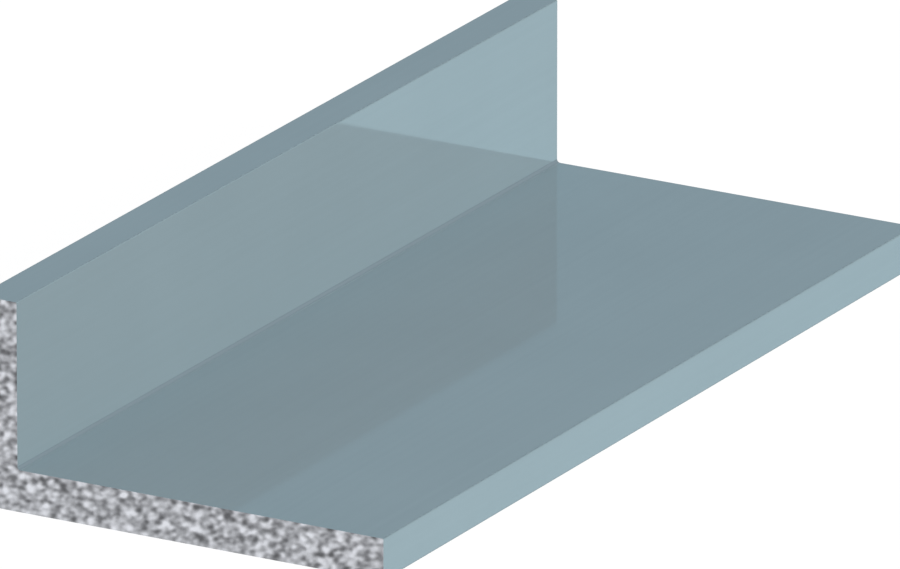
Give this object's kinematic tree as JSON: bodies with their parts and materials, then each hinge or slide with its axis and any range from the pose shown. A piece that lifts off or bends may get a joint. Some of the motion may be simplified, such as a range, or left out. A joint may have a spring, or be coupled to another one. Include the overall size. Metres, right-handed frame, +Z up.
{
  "type": "metal angle section",
  "caption": "Unequal-leg metal angle, a short square-cut length of L-section stock for edging, bracing and joining work at a right angle.",
  "frame": {"origin": "middle of the bounding box's underside: midway along the length and across the wide leg, on the face that lies on the floor", "axes": "+X across the wide leg to its toe, away from the standing narrow leg; +Y along the length; +Z up the narrow leg to its toe"},
  "size_m": [0.063, 0.15, 0.03],
  "materials": {
    "angle_metal": "satin, cool blue-grey"
  },
  "bodies": {
    "root": {"angle_section": "angle_metal"}
  },
  "joints": []
}
